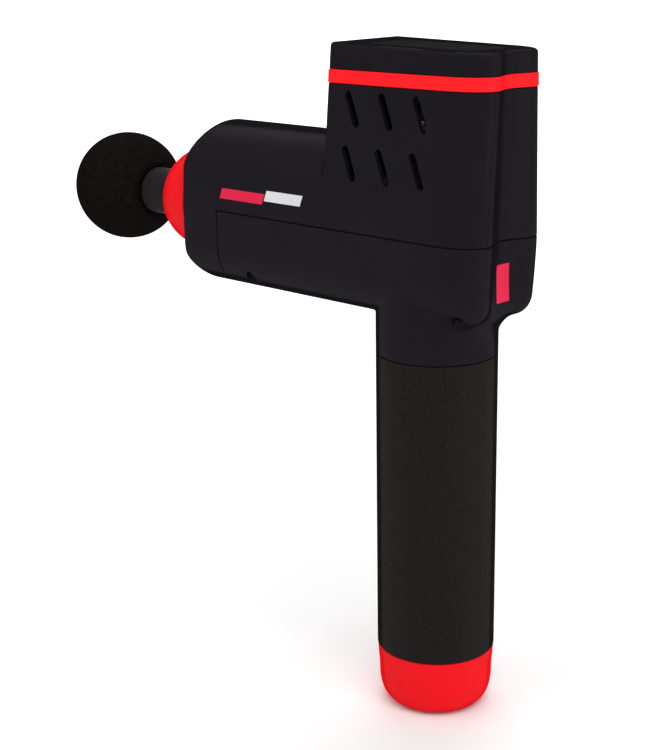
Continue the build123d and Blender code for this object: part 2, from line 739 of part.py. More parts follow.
# ======================================================================= end cap
with BuildPart() as end_cap:
    with BuildSketch(Plane.XZ):
        with BuildLine():
            rise = []
            for n in range(CAP_STEPS + 1):
                turn = 0.5 * pi * n / CAP_STEPS
                bulge = sin(turn) ** (2 / CAP_POWER)
                drop = 1 - cos(turn) ** (2 / CAP_POWER)
                rise.append((CAP_BASE_R + (CAP_SIDE_R - CAP_BASE_R) * bulge, CAP_ROUND * drop))
            rise[-1] = (CAP_SIDE_R, CAP_ROUND)
            Line((0, 0), (CAP_BASE_R, 0))
            Spline(rise, tangents=[(1, 0), (0, 1)])
            Polyline((CAP_SIDE_R, CAP_ROUND), (CAP_TOP_R, GRIP_BOTTOM - 0.4),
                     (CAP_TOP_R - 0.4, GRIP_BOTTOM), (TUBE_R + FIT, GRIP_BOTTOM),
                     (TUBE_R + FIT, TUBE_BOTTOM), (TUBE_BORE, TUBE_BOTTOM),
                     (TUBE_BORE, 10.0), (16.0, CAP_FLOOR), (0, CAP_FLOOR), (0, 0))
        make_face()
    revolve(axis=Axis.Z)
    with BuildSketch(Plane.XY):
        with Locations((SWITCH_X, 0)):
            RectangleRounded(SWITCH_SIZE[0] + 0.4, SWITCH_SIZE[1] + 0.4, 1.0)
        with Locations((JACK_X, 0)):
            Circle(JACK_R + 0.1)
    extrude(amount=SEAT_Z, mode=Mode.SUBTRACT)
    with BuildSketch(Plane.XY):
        with Locations((SWITCH_X, 0)):
            Rectangle(8.6, 13.2)
        with Locations((JACK_X, 0)):
            Circle(JACK_BARREL_R + FIT)
    extrude(amount=8.0, mode=Mode.SUBTRACT)
save(end_cap, "end_cap")

with BuildPart() as switch_body:
    with BuildSketch(Plane.XY.offset(SWITCH_FACE_Z)):
        with Locations((SWITCH_X, 0)):
            RectangleRounded(*SWITCH_SIZE, 0.9)
    extrude(amount=SEAT_Z - SWITCH_FACE_Z)
    add(slab(SWITCH_X - 4.2, SWITCH_X + 4.2, -6.5, 6.5, SEAT_Z, SWITCH_BACK))
    add(slab(SWITCH_X - 3.2, SWITCH_X + 3.2, -6.1, 6.1, 1.0, 9.5), mode=Mode.SUBTRACT)
    for y in (-4.0, 4.0):
        add(slab(SWITCH_X - 1.2, SWITCH_X + 1.2, y - 0.4, y + 0.4, SWITCH_BACK, 20.0))
save(switch_body, "switch_body")

with BuildPart() as rocker:
    with BuildSketch(Plane.YZ.offset(SWITCH_X - 0.5 * ROCKER_WIDTH)):
        with BuildLine():
            Polyline((-ROCKER_HALF, ROCKER_PIVOT_Z + 0.6), (-ROCKER_HALF, 2.0), (0, 2.7),
                     (ROCKER_HALF, 2.0), (ROCKER_HALF, ROCKER_PIVOT_Z + 0.6), (1.2, 7.2),
                     (-1.2, 7.2), (-ROCKER_HALF, ROCKER_PIVOT_Z + 0.6))
        make_face()
    extrude(amount=ROCKER_WIDTH)
rocker.part = rocker.part.rotate(Axis((SWITCH_X, 0, ROCKER_PIVOT_Z), (1, 0, 0)), -ROCKER_TILT)
save(rocker, "rocker")

with BuildPart() as charging_jack:
    add(column(JACK_X, 0, 0.6, SEAT_Z, JACK_R))
    add(column(JACK_X, 0, SEAT_Z, 13.0, JACK_BARREL_R))
    add(column(JACK_X, 0, 0.0, 10.0, 2.75), mode=Mode.SUBTRACT)
    add(column(JACK_X, 0, 1.6, 11.0, 1.05))
save(charging_jack, "charging_jack")

# ======================================================================= massage head
COLLAR_BACK = RAM_FRONT - 0.1
HEAD_SEAT = BALL_X + sqrt(BALL_R ** 2 - STEM_R ** 2)
CORE_X = BALL_X - 0.5 * CORE_T
with BuildPart() as head_stem:
    add(ring_x(COLLAR_BACK, PLUG_END - COLLAR_BACK, PLUG_R))
    add(ring_x(HEAD_SEAT - 0.6, COLLAR_BACK - HEAD_SEAT + 0.6, STEM_R))
    add(ring_x(CORE_X, HEAD_SEAT - 0.6 - CORE_X, NECK_STEM_R))
    add(ring_x(CORE_X, CORE_T, CORE_R))
    for x in RING_PLACES:
        add(ring_x(x - 0.9, 1.8, PLUG_R + 1, PLUG_R - 1.3), mode=Mode.SUBTRACT)
save(head_stem, "head_stem")

with BuildPart() as head_rings:
    for x in RING_PLACES:
        with BuildSketch(Plane.XZ):
            with Locations((x, DRIVE_Z + PLUG_R - 0.62)):
                Circle(0.66)
        revolve(axis=Axis((0, 0, DRIVE_Z), (1, 0, 0)))
save(head_rings, "head_rings")

with BuildPart() as head_ball:
    with Locations((BALL_X, 0, DRIVE_Z)):
        Sphere(BALL_R)
    add(ring_x(HEAD_SEAT - 0.6, 10, STEM_R), mode=Mode.SUBTRACT)
    add(ring_x(CORE_X, FAR, NECK_STEM_R), mode=Mode.SUBTRACT)
    add(ring_x(CORE_X, CORE_T, CORE_R), mode=Mode.SUBTRACT)
save(head_ball, "head_ball")
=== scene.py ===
from math import atan2, cos, pi, radians, sin, sqrt

import bmesh
import bpy
import numpy as np
from mathutils import Matrix, Vector


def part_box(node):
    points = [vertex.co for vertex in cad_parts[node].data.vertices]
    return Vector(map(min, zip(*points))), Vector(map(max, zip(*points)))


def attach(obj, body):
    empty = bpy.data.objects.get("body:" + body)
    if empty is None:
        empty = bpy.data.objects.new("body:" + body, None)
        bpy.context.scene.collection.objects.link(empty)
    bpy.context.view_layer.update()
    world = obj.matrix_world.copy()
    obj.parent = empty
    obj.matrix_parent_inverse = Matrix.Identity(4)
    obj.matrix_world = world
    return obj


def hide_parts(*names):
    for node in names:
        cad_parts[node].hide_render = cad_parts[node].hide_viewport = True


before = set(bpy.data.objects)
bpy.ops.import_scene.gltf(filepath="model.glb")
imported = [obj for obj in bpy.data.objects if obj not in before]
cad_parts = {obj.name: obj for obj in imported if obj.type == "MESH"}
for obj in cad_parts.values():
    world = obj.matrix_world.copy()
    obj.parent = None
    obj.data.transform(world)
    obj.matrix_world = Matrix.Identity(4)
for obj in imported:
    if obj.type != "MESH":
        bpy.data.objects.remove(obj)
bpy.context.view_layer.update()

# Looks of the massage gun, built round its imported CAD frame. The scene is in metres and the shape
# functions in millimetres, with +Z up the grip and -X towards the head.
MM = 0.001
X, Y, Z = 0, 1, 2


# ======================================================================= places in the CAD frame
def lowest(node, axis, shift=0.0):
    """Lowest place of a CAD node on an axis, shifted, in millimetres to the nearest 0.1."""
    return round(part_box(node)[0][axis] / MM + shift, 1)


def highest(node, axis, shift=0.0):
    """Highest place of a CAD node on an axis, shifted, in millimetres to the nearest 0.1."""
    return round(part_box(node)[1][axis] / MM + shift, 1)


def middle(node, axis):
    """Middle of a CAD node on an axis, in millimetres to the nearest 0.1."""
    low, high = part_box(node)
    return round(0.5 * (low[axis] + high[axis]) / MM, 1)


def extent(node, axis):
    """Length of a CAD node along an axis, in millimetres to the nearest 0.1."""
    low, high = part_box(node)
    return round((high[axis] - low[axis]) / MM, 1)


# ======================================================================= dimensions, millimetres
# ---- heights above the base
HALF_GAP = 0.125
NECK_Z = lowest("lower_housing", Z)
BARREL_BOTTOM = lowest("upper_housing", Z)
DRIVE_Z = middle("head_ball", Z)
SEAM_Z = highest("lower_housing", Z, HALF_GAP)
ARCH_Z = SEAM_Z + 16.3
BARREL_TOP = SEAM_Z + 33.8
BAND_BOTTOM = lowest("accent_band", Z)
BAND_TOP = highest("accent_band", Z)
TOP_FRONT = highest("top_cap", Z)
TOP_REAR = TOP_FRONT - 1.6
TOP_LENGTH = 70.0
LOFT_TOP = TOP_FRONT + 1.0

# ---- plan of the body and tower
BODY_HALF = highest("lower_housing", Y)
BODY_FRONT = lowest("upper_housing", X)
COLLAR_X = lowest("lower_housing", X, -HALF_GAP)
BARREL_OVERLAP = 18.0
SIDE_END = 15.0
GROOVE_X = 30.2
TOWER_FRONT = -38.8
TOWER_FRONT_LEAN = 2.3
SIDE_LEAN = 4.5
REAR_LEAN = -1.0
REAR_DRAFT = 2.6
GROOVE_FILL = 1.6
LOW_FILL = 3.0
GROOVE_HALF = 7.0
NECK_R = highest("grip_sleeve", X)
NECK_OVERLAP_Z = 175.0

# ---- edges, fillets, gaps and walls
CORNER_R = 16.0
REAR_R = 9.0
FRONT_EDGE = 2.5
FRONT_GROWTH = 7.0
TOWER_EDGE = 1.8
TOWER_FILLET = 3.0
TOP_EDGE = 1.3
SHARP_FILLET = 0.7
NECK_FILLET = 3.3
NECK_REAR_FILLET = 6.0
SHELL = 2.0
LIP_T = 0.8
LIP_REACH = 3.0

# ---- vent slots and screw recesses
SLOT_ROWS = ((236.3, 0.0), (216.4, -0.7))
SLOT_XS = (-23.9, -7.5, 8.9)
SLOT_LENGTH = 13.9
SLOT_WIDTH = 3.3
SLOT_ANGLE = 113.0
SCREW_PLACES = [(-81.0, 18.8), (-81.0, -18.8), (25.0, 17.3), (25.0, -17.3)]
SCREW_RECESS_R = 2.8
SCREW_RECESS_Z = (150.0, 168.0)

# ---- boxes that hold each sampled surface
HOUSING_BOX = ((-122, -27, 141), (38, 27, 250))
SEAM_LIP_BOX = ((-104, -27, 152), (38, 27, 200))
BAND_LIP_BOX = ((-42, -27, 238), (40, 27, 258))
BAND_BOX = ((-42, -27, 240), (40, 27, 256))
CAP_BOX = ((-42, -27, 246), (40, 27, 263))

# ---- band, cap and touch panel
BAND_PROUD = 0.3
BAND_GAP = 0.05
CAP_GAP = 0.12
PANEL_GAP = 0.15
PANEL_X = middle("top_panel", X)
PANEL_LENGTH = extent("top_panel", X) + 2 * PANEL_GAP
PANEL_WIDTH = extent("top_panel", Y) + 2 * PANEL_GAP
PANEL_DEPTH = 1.2
PANEL_R = 6.15

# ---- nose ring
NOSE_R = 22.2
NOSE_REACH = extent("nose_ring", X)
NOSE_POWER = 2.7
NOSE_LIFT = 0.7
NOSE_BORE = 10.45
NOSE_SEAT_R = 13.05
NOSE_SEAT = 4.0
NOSE_ROLL = 1.2

# ---- end cap
CAP_TOP_R = highest("end_cap", X)
CAP_SIDE_R = 22.45
CAP_BASE_R = 13.0
CAP_TOP = highest("end_cap", Z) - 0.02
CAP_ROUND = 14.4
CAP_POWER = 2.7
CAP_WALL = 2.0
CAP_FLOOR = 12.4
ROCKER_X = middle("rocker", X)
ROCKER_SIZE = (11.4, 15.8)
ROCKER_R = 1.2
JACK_X = middle("charging_jack", X)
JACK_R = 4.6
BASE_DEPTH = 3.0
WELL_SHARE = 0.8

# ---- head
BALL_R = 0.5 * extent("head_ball", Z)
BALL_X = lowest("head_ball", X, BALL_R)
STEM_BORE_R = 10.05
STEM_BORE_DEPTH = 6.0
DIMPLE_R = 13.6
DIMPLE = 2.6

# ---- printed marks: two bars on the near side of the barrel, one on the rear
BAR_LEAN = 0.35
RED_BAR = (-95.0, -70.5, 196.4, 200.6)
WHITE_BAR = (-69.3, -49.5, 197.9, 202.1)
REAR_BAR = (-3.6, 3.6, 168.6, 182.6)
PRINT_FILM = 0.09

# ---- camera: turns, place in metres, lens and film width in millimetres
VIEW_AZIMUTH = radians(44.37)
VIEW_PITCH = radians(16.30)
VIEW_ROLL = radians(-0.97)
VIEW_PLACE = Vector((0.3592, -0.4284, 0.2989))
VIEW_LENS = 72.8
VIEW_FILM = 36


# ======================================================================= camera, light, stage
def view_axes(azimuth, pitch, roll):
    """Right, up and forward vectors of a camera turned to azimuth, pitched down and rolled."""
    forward = Vector((-sin(azimuth) * cos(pitch), cos(azimuth) * cos(pitch), -sin(pitch)))
    right = Vector((cos(azimuth), sin(azimuth), 0))
    up = right.cross(forward)
    return cos(roll) * right + sin(roll) * up, cos(roll) * up - sin(roll) * right, forward


def add_camera():
    right, up, forward = view_axes(VIEW_AZIMUTH, VIEW_PITCH, VIEW_ROLL)
    data = bpy.data.cameras.new("camera")
    data.lens = VIEW_LENS
    data.sensor_width = VIEW_FILM
    camera = bpy.data.objects.new("camera", data)
    turn = Matrix((right, up, -forward)).transposed().to_4x4()
    camera.matrix_world = Matrix.Translation(VIEW_PLACE) @ turn
    bpy.context.scene.collection.objects.link(camera)
    bpy.context.scene.camera = camera


def add_area(name, place, aim, size, power):
    data = bpy.data.lights.new(name, "AREA")
    data.shape = "RECTANGLE"
    data.size, data.size_y = size
    data.energy = power
    lamp = bpy.data.objects.new(name, data)
    lamp.location = place
    lamp.rotation_euler = (Vector(aim) - Vector(place)).to_track_quat("-Z", "Y").to_euler()
    bpy.context.scene.collection.objects.link(lamp)


def add_stage():
    """Pale seamless sweep: a floor that curves up into a backdrop behind the object."""
    half = 2.5
    back = 2.2
    rise = 2.2
    bend = 0.8
    steps = 12
    profile = [(-half, 0.0)]
    for n in range(steps + 1):
        turn = 0.5 * pi * n / steps
        profile.append((back - bend + bend * sin(turn), bend * (1 - cos(turn))))
    profile.append((back, rise))
    right, _, forward = view_axes(VIEW_AZIMUTH, 0, 0)
    verts = [right * side + forward * along + Vector((0, 0, height))
             for along, height in profile for side in (-half, half)]
    faces = [(2 * n, 2 * n + 1, 2 * n + 3, 2 * n + 2) for n in range(len(profile) - 1)]
    mesh = bpy.data.meshes.new("stage")
    mesh.from_pydata(verts, [], faces)
    mesh.shade_smooth()
    stage = bpy.data.objects.new("stage", mesh)
    bpy.context.scene.collection.objects.link(stage)
    paper, _, shader = new_material("stage_paper")
    shader.inputs["Base Color"].default_value = (0.86, 0.86, 0.86, 1)
    shader.inputs["Roughness"].default_value = 1.0
    shader.inputs["Specular IOR Level"].default_value = 0.0
    stage.data.materials.append(paper)


# ======================================================================= materials
def new_material(name):
    material = bpy.data.materials.new(name)
    material.use_nodes = True
    shader = material.node_tree.nodes["Principled BSDF"]
    return material, material.node_tree, shader


def link(tree, source, output, target, socket):
    tree.links.new(source.outputs[output], target.inputs[socket])


def noise(tree, scale, detail=4.0, rough=0.55):
    """Noise in object coordinates, at a scale given in cycles per metre."""
    coords = tree.nodes.new("ShaderNodeTexCoord")
    texture = tree.nodes.new("ShaderNodeTexNoise")
    texture.inputs["Scale"].default_value = scale
    texture.inputs["Detail"].default_value = detail
    texture.inputs["Roughness"].default_value = rough
    link(tree, coords, "Object", texture, "Vector")
    return texture


def ramp(tree, source, output, low, high, colours):
    """Colour ramp between two positions of a texture's value."""
    node = tree.nodes.new("ShaderNodeValToRGB")
    node.color_ramp.elements[0].position = low
    node.color_ramp.elements[1].position = high
    node.color_ramp.elements[0].color = (*colours[0], 1)
    node.color_ramp.elements[1].color = (*colours[1], 1)
    link(tree, source, output, node, "Fac")
    return node


def bump(tree, source, output, shader, distance, strength=1.0):
    """Relief of a texture, its distance in metres."""
    node = tree.nodes.new("ShaderNodeBump")
    node.inputs["Distance"].default_value = distance
    node.inputs["Strength"].default_value = strength
    link(tree, source, output, node, "Height")
    link(tree, node, "Normal", shader, "Normal")


def vary_roughness(tree, source, output, shader, low, high):
    """Roughness that follows a texture between two values."""
    node = tree.nodes.new("ShaderNodeMapRange")
    node.inputs["To Min"].default_value = low
    node.inputs["To Max"].default_value = high
    link(tree, source, output, node, "Value")
    link(tree, node, "Result", shader, "Roughness")


def soft_gloss(tree, shader, ior, level=0.5):
    """Gloss that is full where the surface faces the eye and fades out before it grazes."""
    shader.inputs["IOR"].default_value = ior
    weight = tree.nodes.new("ShaderNodeLayerWeight")
    weight.inputs["Blend"].default_value = 0.5
    fade = tree.nodes.new("ShaderNodeMapRange")
    fade.inputs["From Min"].default_value = 0.25
    fade.inputs["From Max"].default_value = 0.68
    fade.inputs["To Min"].default_value = level
    fade.inputs["To Max"].default_value = 0.0
    link(tree, weight, "Facing", fade, "Value")
    link(tree, fade, "Result", shader, "Specular IOR Level")


def plain_material(name, colour, roughness, metallic=0.0, ior=1.3):
    """Moulded or machined surface: fine grain in the bump and roughness, faint tone changes."""
    spread = 0.08
    material, tree, shader = new_material(name)
    shader.inputs["Metallic"].default_value = metallic
    shader.inputs["IOR"].default_value = ior
    cloud = noise(tree, 60.0, 3.0)
    darker = tuple(channel * 0.92 for channel in colour)
    tone = ramp(tree, cloud, "Fac", 0.3, 0.7, (darker, colour))
    link(tree, tone, "Color", shader, "Base Color")
    fine = noise(tree, 900.0, 2.0)
    bump(tree, fine, "Fac", shader, 0.00002)
    vary_roughness(tree, fine, "Fac", shader, roughness - spread, roughness + spread)
    return material


def body_material():
    """Soft-touch black moulding: fine even spark texture under a low sheen."""
    material, tree, shader = new_material("body_black")
    cloud = noise(tree, 35.0, 4.0)
    tone = ramp(tree, cloud, "Fac", 0.3, 0.72, ((0.0076, 0.0063, 0.0088), (0.0093, 0.0079, 0.0107)))
    link(tree, tone, "Color", shader, "Base Color")
    soft_gloss(tree, shader, 1.15, 0.42)
    spark = noise(tree, 3800.0, 2.0, 0.6)
    bump(tree, spark, "Fac", shader, 0.000035, 0.6)
    vary_roughness(tree, spark, "Fac", shader, 0.34, 0.44)
    return material


def red_material(name, dark=(0.78, 0.0068, 0.0118), light=(0.83, 0.0080, 0.0134)):
    """Satin red moulding with a faint orange-peel."""
    material, tree, shader = new_material(name)
    cloud = noise(tree, 50.0, 3.0)
    tone = ramp(tree, cloud, "Fac", 0.25, 0.75, (dark, light))
    link(tree, tone, "Color", shader, "Base Color")
    soft_gloss(tree, shader, 1.15)
    peel = noise(tree, 700.0, 2.0)
    bump(tree, peel, "Fac", shader, 0.00002, 0.5)
    vary_roughness(tree, peel, "Fac", shader, 0.38, 0.48)
    return material


def grip_material():
    """Rubber sleeve: brownish charcoal with a pebbled grain and speckled sheen."""
    material, tree, shader = new_material("grip_rubber")
    grain = noise(tree, 1500.0, 3.0, 0.6)
    tone = ramp(tree, grain, "Fac", 0.35, 0.68, ((0.0066, 0.0050, 0.0047), (0.0152, 0.0122, 0.0114)))
    link(tree, tone, "Color", shader, "Base Color")
    soft_gloss(tree, shader, 1.15, 0.46)
    bump(tree, grain, "Fac", shader, 0.00009, 0.8)
    vary_roughness(tree, grain, "Fac", shader, 0.34, 0.46)
    return material


def panel_material():
    """Dark touch panel with a faint hazy sheen."""
    material, tree, shader = new_material("panel_gloss")
    haze = noise(tree, 90.0, 3.0)
    tone = ramp(tree, haze, "Fac", 0.3, 0.7, ((0.0120, 0.0124, 0.0131), (0.0158, 0.0163, 0.0171)))
    link(tree, tone, "Color", shader, "Base Color")
    soft_gloss(tree, shader, 1.3)
    vary_roughness(tree, haze, "Fac", shader, 0.30, 0.38)
    return material


def foam_material():
    """Closed-cell foam skin: tiny pits and a fine brown-grey speckle."""
    material, tree, shader = new_material("foam_black")
    speckle = noise(tree, 3300.0, 2.0, 0.8)
    tone = ramp(tree, speckle, "Fac", 0.44, 0.68, ((0.0003, 0.0002, 0.0002), (0.0235, 0.0192, 0.0172)))
    link(tree, tone, "Color", shader, "Base Color")
    shader.inputs["IOR"].default_value = 1.01
    bump(tree, speckle, "Fac", shader, 0.00012, 0.9)
    vary_roughness(tree, speckle, "Fac", shader, 0.62, 0.82)
    return material


# ======================================================================= shape fields
def rounded_max(a, b, radius):
    """Intersection of two distance fields with a rounded edge."""
    corner = np.hypot(np.maximum(a + radius, 0), np.maximum(b + radius, 0))
    return np.minimum(np.maximum(a, b), -radius) + corner


def rounded_min(a, b, radius):
    """Union of two distance fields with a fillet."""
    return -rounded_max(-a, -b, radius)


def ease(value, low, high):
    """Smooth step from 0 at low to 1 at high."""
    share = np.clip((value - low) / (high - low), 0, 1)
    return share * share * (3 - 2 * share)


def clamped_spline(points, start, end, count):
    """Cubic spline through points with unit end tangents, sampled evenly between the knots."""
    p = np.array(points, float)
    h = np.hypot(*np.diff(p, axis=0).T)
    d = np.diff(p, axis=0) / h[:, None]
    n = len(p)
    system, right = np.eye(n), np.zeros((n, 2))
    right[0], right[-1] = start, end
    for i in range(1, n - 1):
        system[i, i - 1:i + 2] = h[i], 2 * (h[i - 1] + h[i]), h[i - 1]
        right[i] = 3 * (d[i - 1] * h[i] + d[i] * h[i - 1])
    m = np.linalg.solve(system, right)
    out = []
    for i in range(n - 1):
        t = np.linspace(0, 1, count, endpoint=i == n - 2)[:, None]
        out.append((1 + 2 * t) * (1 - t) ** 2 * p[i] + t * (1 - t) ** 2 * h[i] * m[i]
                   + t * t * (3 - 2 * t) * p[i + 1] - t * t * (1 - t) * h[i] * m[i + 1])
    return np.vstack(out)


def rear_outline():
    """Half plan of the body (y positive): straight side, rear lobe, and the hollow at y = 0."""
    half = BODY_HALF
    knots = [(SIDE_END, half), (SIDE_END + 9.0, 0.972 * half), (SIDE_END + 14.6, 0.878 * half),
             (SIDE_END + 17.9, 0.742 * half), (SIDE_END + 19.5, 0.560 * half),
             (SIDE_END + 17.1, 0.280 * half), (GROOVE_X, 0)]
    rear = clamped_spline(knots, (1, 0), (0, -1), 24)
    far_side = [(-200.0, half), (-20.0, half)]
    mirrored = (rear[-26:-1] * (1, -1))[::-1]
    return np.vstack([far_side, rear, mirrored])


OUTLINE = rear_outline()


def exact_plan_distance(x, y):
    """Signed distance to the plan outline of the sides and rear, negative inside."""
    shape = x.shape
    p = np.stack([x.ravel(), y.ravel()], 1)
    a, b = OUTLINE[:-1], OUTLINE[1:]
    run = b - a
    length2 = (run ** 2).sum(1)
    result = np.empty(len(p))
    for start in range(0, len(p), 20000):
        q = p[start:start + 20000, None, :] - a[None]
        along = np.clip((q * run).sum(2) / length2, 0, 1)
        gap = q - along[..., None] * run
        d2 = (gap ** 2).sum(2)
        best = d2.argmin(1)
        rows = np.arange(len(best))
        cross = run[best, 0] * q[rows, best, 1] - run[best, 1] * q[rows, best, 0]
        result[start:start + 20000] = np.sqrt(d2[rows, best]) * np.sign(cross)
    return result.reshape(shape)


PLAN_STEP = 0.2
PLAN_X = np.arange(-130, 45, PLAN_STEP)
PLAN_Y = np.arange(0, 36, PLAN_STEP)
PLAN_TABLE = exact_plan_distance(*np.meshgrid(PLAN_X, PLAN_Y, indexing="ij"))


def plan_distance(x, y):
    """The same distance, read from an even table between its four nearest entries."""
    u = np.clip((x - PLAN_X[0]) / PLAN_STEP, 0, len(PLAN_X) - 1.001)
    v = np.clip(np.abs(y) / PLAN_STEP, 0, len(PLAN_Y) - 1.001)
    i, j = u.astype(int), v.astype(int)
    u, v = u - i, v - j
    near = PLAN_TABLE[i, j] * (1 - v) + PLAN_TABLE[i, j + 1] * v
    far = PLAN_TABLE[i + 1, j] * (1 - v) + PLAN_TABLE[i + 1, j + 1] * v
    return near * (1 - u) + far * u


def side_field(x, y, z):
    """Sides and rear of the body and tower, leaning in above the seam and at the low rear."""
    share = np.clip((z - SEAM_Z) / (LOFT_TOP - SEAM_Z), 0, None)
    width = 1 - SIDE_LEAN * share / BODY_HALF
    drop = np.clip((SEAM_Z - z) / (SEAM_Z - BARREL_BOTTOM), 0, 1)
    inset = (REAR_LEAN * share + REAR_DRAFT * drop ** 1.5) * ease(x, -10, 15)
    fill = GROOVE_FILL * ease(share, 0.05, 0.8) + LOW_FILL * ease(drop, 0.25, 1.0)
    hollow = fill * np.exp(-(y / GROOVE_HALF) ** 2)
    inset = inset - hollow * ease(x, 15, 28)
    return plan_distance(x + inset, y / width) * width


def tower_field(x, y, z):
    """Tower column: the body's sides and rear, cut off by the tower's leaning front."""
    share = (z - SEAM_Z) / (LOFT_TOP - SEAM_Z)
    front = TOWER_FRONT + TOWER_FRONT_LEAN * share - x
    return rounded_max(side_field(x, y, z), front, TOWER_EDGE)


def housing_field(x, y, z):
    """Whole housing below the top: barrel, body, tower and neck, with its fillets."""
    side = side_field(x, y, z)
    arch_half = BODY_HALF - SIDE_LEAN * (ARCH_Z - SEAM_Z) / (LOFT_TOP - SEAM_Z)
    rise = BARREL_TOP - ARCH_Z
    arch_r = (arch_half ** 2 + rise ** 2) / (2 * rise)
    centre_z = BARREL_TOP - arch_r
    arch = np.hypot(y, z - centre_z) - arch_r
    barrel = np.where(z > centre_z, np.maximum(arch, side), side)
    barrel = rounded_max(barrel, BARREL_BOTTOM - z, CORNER_R)
    low_end = BARREL_BOTTOM + 0.8 * CORNER_R
    front_r = FRONT_EDGE + FRONT_GROWTH * (ease(z, ARCH_Z, BARREL_TOP)
                                           + ease(-z, -low_end, -BARREL_BOTTOM))
    barrel = rounded_max(barrel, BODY_FRONT - x, front_r)
    barrel = np.maximum(barrel, x - TOWER_FRONT - BARREL_OVERLAP)
    corner = CORNER_R + (REAR_R - CORNER_R) * ease(x, 18, 34)
    lower = rounded_max(side, BARREL_BOTTOM - z, corner)
    lower = rounded_max(lower, BODY_FRONT - x, front_r)
    tower = tower_field(x, y, z)
    fillet = 0.01 + TOWER_FILLET * ease(z, ARCH_Z - 1, ARCH_Z + 7)
    upper = rounded_min(tower, barrel, fillet)
    neck = np.hypot(x, y) - NECK_R
    side_share = ease(np.abs(y), 5, 15) * (1 - 0.6 * ease(x, 10, 20))
    soft = SHARP_FILLET + (NECK_FILLET + NECK_REAR_FILLET * ease(x, 5, 20)) * (1 - side_share)
    lower = rounded_min(lower, np.maximum(neck, z - NECK_OVERLAP_Z), soft)
    return np.where(z > SEAM_Z, upper, lower)


def top_height(x):
    """Height of the slightly tilted top face at x."""
    centre = 0.5 * (TOP_FRONT + TOP_REAR)
    return centre - (TOP_FRONT - TOP_REAR) / TOP_LENGTH * x


def cap_field(x, y, z):
    """Tower closed by its tilted top face."""
    return rounded_max(tower_field(x, y, z), z - top_height(x), TOP_EDGE)


def band_field(x, y, z):
    """Tower grown by the height of the red band."""
    return tower_field(x, y, z) - BAND_PROUD


# ======================================================================= meshing
def surface_net(field, box, step):
    """Quad mesh of a field's zero surface, with its points moved onto the exact surface."""
    axes = [np.arange(a, b + step, step) for a, b in zip(*box)]
    gx, gy = np.meshgrid(axes[0], axes[1], indexing="ij")
    values = np.stack([field(gx, gy, np.full(gx.shape, z)) for z in axes[2]], 2)
    inside = values < 0
    shape = tuple(n - 1 for n in values.shape)
    total = np.zeros(shape + (3,))
    count = np.zeros(shape)
    corners = [(i, j, k) for i in (0, 1) for j in (0, 1) for k in (0, 1)]
    part = {c: values[c[0]:c[0] + shape[0], c[1]:c[1] + shape[1], c[2]:c[2] + shape[2]]
            for c in corners}
    for c in corners:
        for axis in range(3):
            if c[axis]:
                continue
            d = tuple(c[n] + (n == axis) for n in range(3))
            va, vb = part[c], part[d]
            mixed = (va < 0) != (vb < 0)
            share = np.where(mixed, va / np.where(va == vb, 1, va - vb), 0)
            for n in range(3):
                total[..., n] += np.where(mixed, c[n] + (share if n == axis else 0), 0)
            count += mixed
    used = count > 0
    index = np.full(shape, -1)
    index[used] = np.arange(used.sum())
    cells = np.argwhere(used)
    points = np.array([a[0] for a in axes]) + step * (cells + total[used] / count[used][:, None])
    faces = []
    for axis in range(3):
        u, v = [n for n in range(3) if n != axis]
        first = [slice(None)] * 3
        second = [slice(None)] * 3
        first[axis], second[axis] = slice(0, -1), slice(1, None)
        a, b = inside[tuple(first)], inside[tuple(second)]
        spots = np.argwhere(a != b)
        keep = (spots[:, u] > 0) & (spots[:, v] > 0)
        keep &= (spots[:, u] < shape[u]) & (spots[:, v] < shape[v])
        spots = spots[keep]
        quad = []
        for du, dv in ((0, 0), (-1, 0), (-1, -1), (0, -1)):
            cell = spots.copy()
            cell[:, u] += du
            cell[:, v] += dv
            quad.append(index[tuple(cell.T)])
        quad = np.stack(quad, 1)
        flip = ~a[tuple(spots.T)]
        if axis == 1:
            flip = ~flip
        quad[flip] = quad[flip][:, ::-1]
        faces.append(quad)
    faces = np.vstack(faces)
    delta = 0.15
    for _ in range(4):
        x, y, z = points.T
        level = field(x, y, z)
        slope = np.stack([
            field(x + delta, y, z) - field(x - delta, y, z),
            field(x, y + delta, z) - field(x, y - delta, z),
            field(x, y, z + delta) - field(x, y, z - delta)], 1) / (2 * delta)
        move = level[:, None] * slope / np.maximum((slope ** 2).sum(1), 0.2)[:, None]
        points -= np.clip(move, -0.4 * step, 0.4 * step)
    return points, faces


def new_object(name, points, faces, material):
    """Mesh object from points in millimetres."""
    mesh = bpy.data.meshes.new(name)
    mesh.from_pydata([tuple(p) for p in np.asarray(points) * MM], [], [tuple(f) for f in faces])
    mesh.materials.append(material)
    mesh.shade_smooth()
    piece = bpy.data.objects.new(name, mesh)
    bpy.context.scene.collection.objects.link(piece)
    return piece


def cut_shell(piece, cuts, removed):
    """Cut a skin along planes, drop the removed side, and turn its new edges in a little."""
    lip = 0.3
    bm = bmesh.new()
    bm.from_mesh(piece.data)
    for place, normal in cuts:
        for shift in (lip, 0.0):
            spot = (Vector(place) + Vector(normal) * shift) * MM
            geometry = bm.verts[:] + bm.edges[:] + bm.faces[:]
            bmesh.ops.bisect_plane(bm, geom=geometry, plane_co=spot, plane_no=Vector(normal),
                                   dist=1e-7)
    gone = [f for f in bm.faces if removed(f.calc_center_median() / MM)]
    bmesh.ops.delete(bm, geom=gone, context="FACES")
    bm.normal_update()
    rim = {v for e in bm.edges if e.is_boundary for v in e.verts}
    moves = [(v, v.normal.copy()) for v in rim]
    for v, normal in moves:
        v.co -= normal * (0.9 * lip * MM)
    bm.to_mesh(piece.data)
    bm.free()


